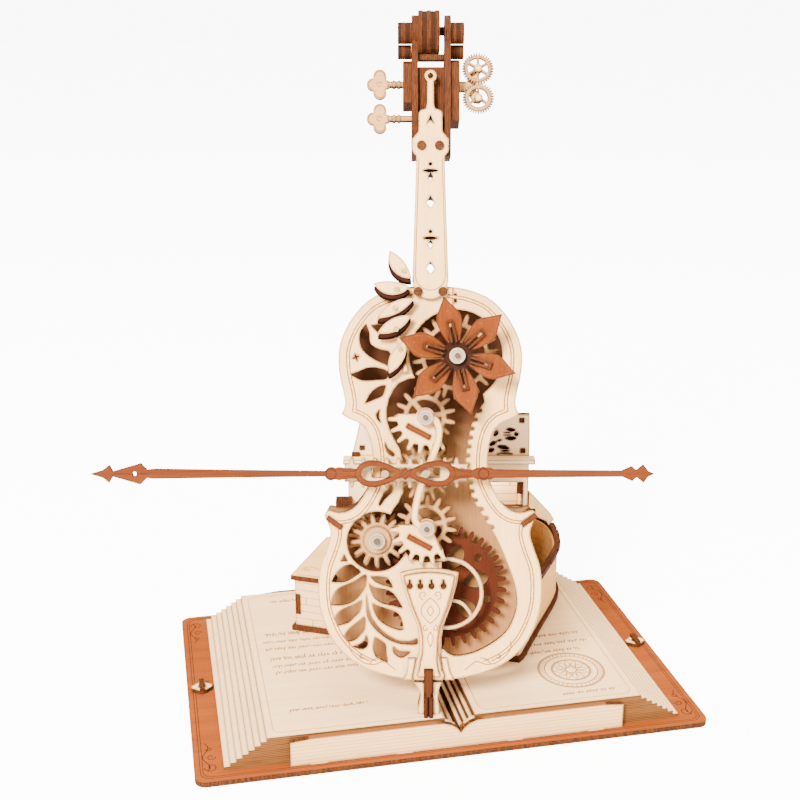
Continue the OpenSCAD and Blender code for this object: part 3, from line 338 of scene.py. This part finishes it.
M["scroll"] = plywood("scroll", sideplate, (0.070, 0.016, 0.004), (0.030, 0.007, 0.002), seed=12.6,
                      ply=0.0007, edge=(0.010, 0.003, 0.001), edge_lit=(0.105, 0.025, 0.004),
                      beam=(300.0, 3400.0),
                      over=laminated(0.00149, -0.00425, (0.016, 0.004, 0.001), 0.72))
M["tab"] = plywood("tab", cello, (0.115, 0.028, 0.006), (0.055, 0.012, 0.003), seed=6.5, halo=0.8)
# the back board carries painted shade at the top of the flower opening and round the left wheels
M["back"] = plywood("back", cello, (0.34, 0.155, 0.052), (0.22, 0.095, 0.029), seed=13.0, over=painted_shade_back)
M["flat_light"] = plywood("flat_light", flat, CREAM, CREAM_DEEP, seed=14.0)
M["flat_dark"] = plywood("flat_dark", flat, (0.100, 0.026, 0.008), (0.050, 0.013, 0.004), seed=15.5,
                         edge=(0.024, 0.008, 0.003), edge_lit=(0.095, 0.028, 0.008))
M["front_wall"] = plywood("front_wall", (X, Z, Y), (0.84, 0.50, 0.215), (0.74, 0.39, 0.15), seed=16.0,
                          over=leaf_edges)
M["case_wall"] = plywood("case_wall", (X, Y, Z), (0.86, 0.57, 0.29), (0.73, 0.42, 0.18), sides=True,
                         seed=17.0, extra=planks(0.0031, 0.0147, depth=0.7), over=warm_end)
M["tower"] = plywood("tower", tw, (0.95, 0.67, 0.37), (0.90, 0.58, 0.28), seed=18.0, over=shelf_top)
brace = (Vector((0.713, 0.701, 0)), Z, Vector((0.701, -0.713, 0)))
M["brace"] = plywood("brace", brace, CREAM, CREAM_DEEP, seed=18.5)
M["tower_in"] = plywood("tower_in", (tw[0], tw[2], Z), (0.93, 0.66, 0.36), (0.88, 0.57, 0.27), sides=True,
                        seed=19.0, extra=planks(0.0034, 0.0367, AMBER, 0.6, 0.033))
M["steel"] = metal("steel", (0.52, 0.37, 0.24), 0.32)
M["brass"] = metal("brass", (0.83, 0.60, 0.25), 0.22)

USE = dict(
    book_cover="cover", pages="page", gutter_strips="page", end_walls="front_wall", clasp_left="flat_light",
    clasp_right="flat_light", clasp_pins="side_dark", case_floor="flat_dark", case_walls="case_wall",
    case_top="flat_light", case_rim="flat_dark", tower_front="tower", tower_shell="tower_in",
    side_brace="brace", tower_shelves="flat_dark", stays="tab", joint_tabs="side_brown",
    movement_bed="brass", pin_cylinder="brass", comb="steel", governor="brass", wind_key="brass",
    drive_block="light_b", front_left="light", front_right="light", back_plate="back", pillars="tab",
    tailpiece="light", end_pin="end_pin", neck_board="light", neck_core="side_brown", plugs="side_dark",
    pegbox="side_brown", scroll="scroll", peg_upper="peg", peg_lower="peg", peg_wheel_upper="gear",
    peg_wheel_lower="gear", wheel_arm="light", leaves="leaf", leaf_pins="brass", drive_gear="red",
    drive_arbor="steel", left_wheels="gear", lower_wheel="gear", lower_sector="sector", idler="gear",
    upper_wheel="gear", upper_sector="sector", flower_wheel="gear", flower="petal", s_bracket="light",
    guide_pins="steel", bow="bow", bow_rack="light_b", spiral_ring="light_b",
    left_arbor="b_left", lower_arbor="b_lower", upper_arbor="b_upper", flower_arbor="b_flower",
)
THICK_PIN, THIN_PIN = 0.00125, 0.00101
BUSHES = dict(b_left=(LEFT_AT, THICK_PIN), b_lower=(LOWER_AT, THIN_PIN), b_upper=(UPPER_AT, THIN_PIN),
              b_flower=(FLOWER_AT, THIN_PIN))
for key, (shaft, pin_r) in BUSHES.items():
    M[key] = bush(key, on_cello(*shaft), pin_r)
for name, key in USE.items():
    nodes[name].data.materials.clear()
    nodes[name].data.materials.append(M[key])


# ---------------------------------------------------------------- burnt lines laid on the faces
def line_material(name, colour):
    k = Net(name)
    n = k.noise(k.vec("MULTIPLY", k.coord.outputs["Object"], (1, 1, 1)), 1400.0, 3.0)
    faint = tuple(min(1, c * 1.9) for c in colour)
    k.put(k.bsdf.inputs["Base Color"], k.mix(k.step(n, 0.35, 0.7), colour, faint))
    k.bsdf.inputs["Roughness"].default_value = 0.8
    k.bsdf.inputs["Specular IOR Level"].default_value = 0.1
    return k.mat


INK = line_material("ink", (0.200, 0.062, 0.014))
INK_TAN = line_material("ink_tan", (0.60, 0.33, 0.125))
INK_PALE = line_material("ink_pale", (0.36, 0.135, 0.036))
INK_DEEP = line_material("ink_deep", (0.185, 0.052, 0.011))
INK_DARK = line_material("ink_dark", (0.028, 0.009, 0.004))
INK_WALL = line_material("ink_wall", (0.040, 0.011, 0.003))
INK_BROWN = line_material("ink_brown", (0.110, 0.026, 0.006))


def ribbons(name, paths, place, half, mat, body="frame", closed=False):
    """Flat strips along 2-D paths in millimetres; place(x, y) gives the point in the row frame."""
    verts, faces = [], []
    for path in paths:
        m = len(path)
        base = len(verts)
        for i, q in enumerate(path):
            a = path[i - 1] if i or closed else path[0]
            b = path[(i + 1) % m] if i < m - 1 or closed else path[-1]
            dx, dy = b[0] - a[0], b[1] - a[1]
            d = math.hypot(dx, dy) or 1.0
            for sgn in (1, -1):
                verts.append(place(q[0] - sgn * dy / d * half, q[1] + sgn * dx / d * half))
        for i in range(m if closed else m - 1):
            j = (i + 1) % m
            faces.append((base + 2 * i, base + 2 * i + 1, base + 2 * j + 1, base + 2 * j))
    mesh = bpy.data.meshes.new(name)
    mesh.from_pydata(verts, [], faces)
    mesh.materials.append(mat)
    o = bpy.data.objects.new(name, mesh)
    bpy.context.scene.collection.objects.link(o)
    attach(o, body)
    return o


def crom(p, k):
    """Catmull-Rom curve through points, k steps to each span."""
    out = []
    for i in range(len(p) - 1):
        a, b, c, d = p[max(i - 1, 0)], p[i], p[i + 1], p[min(i + 2, len(p) - 1)]
        for j in range(k):
            u = j / k
            out.append(tuple(0.5 * (2 * b[q] + (c[q] - a[q]) * u
                                    + (2 * a[q] - 5 * b[q] + 4 * c[q] - d[q]) * u * u
                                    + (3 * b[q] - a[q] - 3 * c[q] + d[q]) * u ** 3) for q in (0, 1)))
    return out + [tuple(p[-1])]


upper_bout = [(6.6, 149.5), (14, 148.2), (21.8, 144.6), (28.1, 137.4), (31.8, 128.8), (32, 120),
              (30.4, 112.3), (29.9, 108), (31.2, 104.9)]
waist = [(31.2, 104.9), (28.6, 103.2), (24.4, 101.3), (21.6, 97.4), (20.2, 90), (20.5, 83), (22.6, 77.5),
         (25.8, 72.8), (29, 70.6), (32.6, 70.2), (35.9, 71), (37.3, 69.2)]
lower_bout = [(37.3, 69.2), (36, 66.4), (35.1, 62.8), (36.5, 57.4), (38.6, 51.4), (39.4, 44),
              (38.8, 36.5), (36.8, 30), (33.2, 23.4), (27.6, 17.9), (20, 14), (10, 11.6), (0, 10.9)]
outline = crom(upper_bout, 6)[:-1] + crom(waist, 6)[:-1] + crom(lower_bout, 6)


def inset(path, d):
    """The path moved d inwards (its inside is on the right going down), without the loops at corners."""
    pts = []
    for i, q in enumerate(path):
        a, b = path[max(i - 1, 0)], path[min(i + 1, len(path) - 1)]
        dx, dy = b[0] - a[0], b[1] - a[1]
        m = math.hypot(dx, dy) or 1
        c = (q[0] + dy / m * d, q[1] - dx / m * d)
        if min(math.hypot(c[0] - r[0], c[1] - r[1]) for r in path) > d - 0.06 and c[0] > 0.2:
            pts.append(c)
    return pts


def mirror_pair(paths):
    return paths + [[(-x, y) for x, y in p] for p in paths]


def at_height(w):
    """Places drawings at a height over the cello's front plate, in millimetres."""
    return lambda x, y: on_cello(x, y, w)


def level(height):
    """Places flat drawings at a height over the table, in metres."""
    return lambda x, y: Vector((x / 1000, y / 1000, height))


# heights of the faces that carry ink, just clear of the wood
FRONT_INK, BAND_INK, TAIL_INK, NECK_INK = 0.03, 0.015, 2.63, 2.03
BACK_INK, PEG_INK, BOW_INK = -17.6, -4.02, 8.23
PAGE_INK, COVER_INK, CASE_INK = PAGE_TOP + 0.00003, 0.00203, PAGE_TOP + 0.02403


def purfling(d):
    """The inlay line at a depth d inside the outline, without the stretch behind the tailpiece's foot."""
    return mirror_pair([[q for q in inset(outline, d) if q[1] > 17.5 or q[0] > 27]])


ribbons("purfling_band", purfling(3.4), at_height(BAND_INK), 0.5, INK_TAN)
ribbons("purfling_lines", purfling(2.9) + purfling(3.9), at_height(FRONT_INK), 0.2, INK)

# engraved ornament of the tailpiece, neck and saddle
tail = [(-9.3, 48.6), (-9.1, 46.4), (-6.5, 38), (-3.6, 30.8), (-2.7, 26), (-2.8, 21), (-3.9, 14.6)]
ribbons("tailpiece_lines", mirror_pair([tail]), at_height(TAIL_INK), 0.2, INK)
heel_arc = [(-5.2 * math.cos(math.radians(a)), 153.3 - 5.2 * math.sin(math.radians(a)))
            for a in range(10, 171, 8)]
ribbons("neck_lines", [heel_arc, [(-5.3, 152.5), (-4.05, 193.6)], [(5.3, 152.5), (4.05, 193.6)]],
        at_height(NECK_INK), 0.15, INK)


def spiral(cx, cy, r, turns, start, hand=1, m=26):
    """A curl that winds in to its own middle."""
    out = []
    for i in range(m + 1):
        a, near = math.radians(start) + hand * 2 * math.pi * turns * i / m, r * (1 - 0.88 * i / m)
        out.append((cx + near * math.cos(a), cy + near * math.sin(a)))
    return out


# scrolls burnt into the front plate beside the tailpiece foot, and rays on the back board
stem = [(-27.0, 20.0), (-23.4, 17.2), (-19.6, 16.6), (-16.4, 17.6), (-14.2, 16.2), (-12.2, 14.6)]
scrolls = [crom(stem, 6),
           crom([(-21.4, 16.7), (-19.8, 18.4), (-17.6, 18.9)], 5), spiral(-24.2, 19.6, 1.1, 0.9, -20, -1),
           crom([(-27.0, 20.0), (-28.4, 22.4), (-28.2, 24.8)], 5)]
ribbons("plate_scrolls", mirror_pair(scrolls), at_height(FRONT_INK), 0.19, INK)
rays = [crom([(31.4 - 2.2 * i, 27.2 - 4.1 * i), (28.2 - 1.6 * i, 28.4 - 3.3 * i),
              (25.6 - 1.2 * i, 31.0 - 3.1 * i)], 6) for i in range(3)]
ribbons("plate_rays", rays, at_height(BACK_INK), 0.16, INK)

# tailpiece ornament: an open knot on the middle line
knot = mirror_pair([crom([(0, 40.6), (2.5, 38.2), (3.2, 35.4), (1.6, 33.0), (0, 31.6)], 6),
                    spiral(2.4, 41.6, 1.7, 1.1, -90), spiral(1.55, 29.8, 1.2, 1.0, 90, -1),
                    crom([(0, 28.6), (1.0, 26.4), (0, 23.2)], 6),
                    crom([(0, 37.7), (1.1, 36.0), (0, 34.2)], 5)])
ribbons("tailpiece_knot", knot, at_height(TAIL_INK), 0.17, INK)


# pages: flowing generic writing with no letters, and a rosette seal
def writing(x0, x1, y, tall, seed):
    """A run of hand-like loops from x0 to x1 that spells nothing, cut into stretches of uneven length."""
    out, x, i = [], x0, 0
    while x < x1:
        size = 2.1 + 2.6 * abs(math.sin(seed + i * 1.7))
        end = min(x + size, x1)
        m = max(8, int((end - x) * 9))
        word = []
        for j in range(m + 1):
            a = j / m
            px = x + (end - x) * a
            ph = px * 5.4 + seed * 3 + i
            h = tall * (0.42 + 0.4 * abs(math.sin(px * 1.3 + seed))) * (1.9 if (i + j) % 17 == 3 else 1)
            word.append((px + 0.22 * math.cos(ph * 1.03), y + h * 1.05 * math.sin(ph)))
        out.append(word)
        x = end + 0.85
        i += 1
    return out


left_lines = []
for run in ((-56, -40, 45, 1.3, 0.3), (-61, -12, 17.5, 1.5, 1.1), (-62.5, -16, 11.6, 1.1, 2.2),
            (-62, -22, 6, 1.1, 3.3), (-61, -12, -1.5, 1.4, 4.1), (-60.5, -14, -7, 1.1, 5.7),
            (-60, -26, -11.6, 1.1, 6.4), (-58, -30, -38, 0.9, 6.9)):
    left_lines += writing(*run)
right_lines = []
for run in ((34, 61, -4.6, 1.1, 0.7), (35, 62, -10.8, 1.1, 1.9), (33, 57, -16.6, 1.1, 2.6),
            (40, 60, -47, 0.8, 4.4)):
    right_lines += writing(*run)
ribbons("page_writing_left", left_lines, level(PAGE_INK), 0.17, INK_DEEP)
ribbons("page_writing_right", right_lines, level(PAGE_INK), 0.17, INK_DEEP)


def circle(cx, cy, r, m=72):
    return [(cx + r * math.cos(2 * math.pi * i / m), cy + r * math.sin(2 * math.pi * i / m))
            for i in range(m)]


sx, sy = 48.5, -31.5
ribbons("seal_rings", [circle(sx, sy, r) for r in (12.4, 11.9, 9.9, 7.4, 6.9, 2.0)], level(PAGE_INK), 0.19,
        INK, closed=True)
rose = []
for i in range(12):
    a = math.radians(30 * i)
    rose.append([(sx + r * math.cos(a + da), sy + r * math.sin(a + da)) for r, da in
                 ((2.2, 0), (3.6, 0.22), (5.2, 0.16), (6.7, 0), (5.2, -0.16), (3.6, -0.22), (2.2, 0))])
for i in range(40):
    a = math.radians(9 * i)
    rose.append([(sx + r * math.cos(a + q), sy + r * math.sin(a + q))
                 for r, q in ((10.3, 0), (10.9, 0.05), (11.5, 0))])
ribbons("seal_rosette", rose, level(PAGE_INK), 0.17, INK)


def frame_lines(x0, x1, y0, y1, r=3.0):
    """A rectangle with rounded corners."""
    pts = []
    for cx, cy, a0 in ((x1 - r, y1 - r, 0), (x0 + r, y1 - r, 90), (x0 + r, y0 + r, 180),
                       (x1 - r, y0 + r, 270)):
        pts += [(cx + r * math.cos(math.radians(a0 + q)), cy + r * math.sin(math.radians(a0 + q)))
                for q in range(0, 91, 15)]
    return pts


page_frames = [frame_lines(-65, -8, -51, 51), frame_lines(8, 65, -51, 51)]
ribbons("page_borders", page_frames, level(PAGE_INK), 0.15, INK_PALE, closed=True)

# cover: fine border and generic scroll corners
cover_frames = [frame_lines(-90.4, 90.4, -57, 57, 3.5), frame_lines(-89.5, 89.5, -56.1, 56.1, 3.0)]
ribbons("cover_border", cover_frames, level(COVER_INK), 0.12, INK_DARK, closed=True)
curls = []
for kx in (-1, 1):
    for ky in (-1, 1):
        for x, y, r, turns, flip in ((86.6, 50.6, 2.3, 1.2, 1), (86.4, 44.6, 1.6, 1.1, -1),
                                     (86.8, 39.6, 1.2, 1.0, 1)):
            curls.append([(kx * (x + flip * r * (1 - a / 1.25) * math.cos(2 * math.pi * a * turns)),
                           ky * (y + r * 1.15 * (1 - a / 1.25) * math.sin(2 * math.pi * a * turns)))
                          for a in [i / 22 for i in range(23)]])
        curls.append([(kx * (88.2 - 1.1 * math.sin(q * 0.55)), ky * (36 + q))
                      for q in [i * 0.8 for i in range(22)]])
ribbons("cover_curls", curls, level(COVER_INK), 0.16, INK_DARK)


# peg heads: an engraved arc inside each lobe
def arc(cx, cy, r, a0, a1, m=14):
    angles = [math.radians(a0 + (a1 - a0) * i / m) for i in range(m + 1)]
    return [(cx + r * math.cos(a), cy + r * math.sin(a)) for a in angles]


for peg, peg_t, body in (("upper", 220.8, "peg_a"), ("lower", 208.8, "peg_b")):
    marks = [arc(-17.7, peg_t + 2.9, 1.7, -10, 190), arc(-17.7, peg_t - 2.9, 1.7, 170, 370),
             arc(-20.1, peg_t, 1.6, 100, 260), arc(-17.9, peg_t, 0.8, 0, 300)]
    ribbons(f"peg_lines_{peg}", marks, at_height(PEG_INK), 0.13, INK, body)

# case top: a line inside its front edge and a curl at the corner
case_wave = [(-45.6, 23.4), (-43.2, 25.6), (-40.4, 25.2), (-38.6, 22.8), (-36.2, 21.6)]
case_marks = [[(-47.4, 20.4), (-20, 5.9)], crom(case_wave, 6), spiral(-42.6, 23.2, 1.5, 1.2, 100)]
ribbons("case_top_lines", case_marks, level(CASE_INK), 0.17, INK)


BOW_T = 84.5        # the bow's height up the cello


# bow: engraved outlines, eyelet rings and the strands that cross in its middle
def on_bow(x, y):
    return on_cello(x, BOW_T + y, BOW_INK)


bow_marks = []
for side, s0 in (("left", -34.4), ("right", 18.2)):
    ribbons(f"bow_eye_{side}", [circle(s0, 0, 1.75, 40)], on_bow, 0.2, INK_DARK, "bow", closed=True)
for kx in (-1, 1):
    loop = [(-8.8 + kx * 17.2 * (1 - math.cos(math.radians(a))) / 2,
             5.55 * math.sin(math.radians(a)) * math.sin(math.radians(a / 2)))
            for a in range(36, 325, 8)]
    bow_marks.append(loop)
bow_marks += [[(-10.9, -1.7), (-9.6, -0.5), (-8.2, 0.6), (-6.7, 1.8)],
              [(-10.9, -0.4), (-9.4, 0.9), (-8.4, 1.6)], [(-9.3, -1.6), (-8.3, -0.9), (-6.9, 0.4)]]
bow_marks += [[(-97.4, 0), (-101.0, 0)], [(-103.4, 0), (-109.6, 0)],
              [(-30.6, 1.1), (-28.4, 0.7), (-25.8, 1.1)], [(-30.6, -1.1), (-28.4, -0.7), (-25.8, -1.1)],
              [(9.0, 1.3), (11.4, 0.7), (14.0, 0.6)],
              [(9.0, -1.3), (11.4, -0.7), (14.0, -0.6)]]
ribbons("bow_lines", bow_marks, on_bow, 0.12, INK_DARK, "bow")

PETAL_TILT = 12
PETAL_ROOT, PETAL_BASE = 3.6, 7.6
PETAL_INK, PETAL_WALL_INK = 1.63, 3.03


# petal outlines and tip dots follow the tilted petals
def on_petal(turn_deg, z):
    """Places drawings on the petal that points along turn_deg, at a height z over its underside."""
    def place(x, y):
        a, b = math.radians(turn_deg), math.radians(PETAL_TILT)
        px, pz = x * math.cos(b) - z * math.sin(b), x * math.sin(b) + z * math.cos(b)
        px += PETAL_ROOT
        return on_cello(FLOWER_AT[0] + px * math.cos(a) - y * math.sin(a),
                        FLOWER_AT[1] + px * math.sin(a) + y * math.cos(a), PETAL_BASE + pz)
    return place


petal_line = crom([(9.9, 1.5), (10.4, 3.0), (8.2, 3.45), (5.0, 2.65), (1.9, 1.75)], 6)
petal_tip = crom([(11.2, 3.0), (13.4, 1.9), (15.6, 0.55), (16.2, 0), (15.6, -0.55), (13.4, -1.9),
                  (11.2, -3.0)], 5)
wall_tops = [[(1.8, -0.8), (9.0, -0.8)], [(1.8, 0.8), (9.0, 0.8)], [(8.75, -0.9), (8.75, 0.9)]]
for i in range(6):
    points = 43 + 60 * i
    around = on_petal(points, PETAL_INK)
    ribbons(f"petal_walls_{i}", wall_tops, on_petal(points, PETAL_WALL_INK), 0.33, INK_WALL, "bloom")
    ribbons(f"petal_lines_{i}", [petal_line, [(x, -y) for x, y in petal_line], petal_tip], around, 0.13,
            INK_BROWN, "bloom")
    ribbons(f"petal_dot_{i}", [circle(12.6, 0, 0.2, 14)], around, 0.2, INK_BROWN, "bloom", closed=True)

# ---------------------------------------------------------------- floor, light and camera
FLOOR_GLOW, SKY_GLOW = 9.0, 8.6     # seen by the camera only, so they light nothing
SKY = 0.8                           # soft light from all round
floor_mesh = bpy.data.meshes.new("floor")
floor_mesh.from_pydata([(-6, -6, 0), (6, -6, 0), (6, 6, 0), (-6, 6, 0)], [], [(0, 1, 2, 3)])
floor = bpy.data.objects.new("floor", floor_mesh)
bpy.context.scene.collection.objects.link(floor)
k = Net("floor")
k.bsdf.inputs["Base Color"].default_value = (0.93, 0.915, 0.90, 1)
k.bsdf.inputs["Emission Color"].default_value = (1, 1, 1, 1)
lit = k.tree.nodes.new("ShaderNodeLightPath")
k.put(k.bsdf.inputs["Emission Strength"], k.math("MULTIPLY", lit.outputs["Is Camera Ray"], FLOOR_GLOW))
k.bsdf.inputs["Roughness"].default_value = 0.9
k.bsdf.inputs["Specular IOR Level"].default_value = 0.1
floor_mesh.materials.append(k.mat)

world = bpy.data.worlds.new("studio")
bpy.context.scene.world = world
world.use_nodes = True
sky = world.node_tree
sky.nodes["Background"].inputs[0].default_value = (1, 1, 1, 1)
seen = sky.nodes.new("ShaderNodeLightPath")
gain = sky.nodes.new("ShaderNodeMath")
gain.operation = "MULTIPLY_ADD"
sky.links.new(seen.outputs["Is Camera Ray"], gain.inputs[0])
gain.inputs[1].default_value = SKY_GLOW
gain.inputs[2].default_value = SKY
sky.links.new(gain.outputs[0], sky.nodes["Background"].inputs[1])


def area(name, at, look, size, power, colour=(1, 1, 1)):
    d = bpy.data.lights.new(name, "AREA")
    d.shape, d.size, d.energy, d.color = "DISK", size, power, colour
    o = bpy.data.objects.new(name, d)
    bpy.context.scene.collection.objects.link(o)
    o.location = at
    o.rotation_mode = "QUATERNION"
    o.rotation_quaternion = (Vector(look) - Vector(at)).to_track_quat("-Z", "Y")


area("key", (-0.75, -1.0, 1.05), (0, 0, 0.1), 0.5, 118, (1, 0.985, 0.96))
area("fill", (1.0, -0.8, 0.6), (0, 0, 0.1), 0.8, 16)
area("top", (0.1, 0.3, 1.4), (0, 0, 0.05), 0.9, 24)

# a small lamp in each of the tower's two window rooms
for side, at_x in (("right", 20.8), ("left", -12.0)):
    area(f"room_{side}", on_tower(at_x, 3.6, 36.6), on_tower(at_x, 14.0, 27.5), 0.008, 0.022,
         (1, 0.9, 0.75))

cam_data = bpy.data.cameras.new("camera")
cam = bpy.data.objects.new("camera", cam_data)
bpy.context.scene.collection.objects.link(cam)
cam_data.lens, cam_data.sensor_width = 56.0, 36.0
cam_data.clip_start, cam_data.clip_end = 0.01, 20
fwd = Vector((0.1917, 0.9299, -0.3139)).normalized()
right = Vector((0.9794, -0.2018, 0.0)).normalized()
up = right.cross(fwd).normalized()
eye = (-0.097, -0.4205, 0.2547)
cam.matrix_world = Matrix([(right[i], up[i], -fwd[i], eye[i]) for i in range(3)] + [(0, 0, 0, 1)])
bpy.context.scene.camera = cam
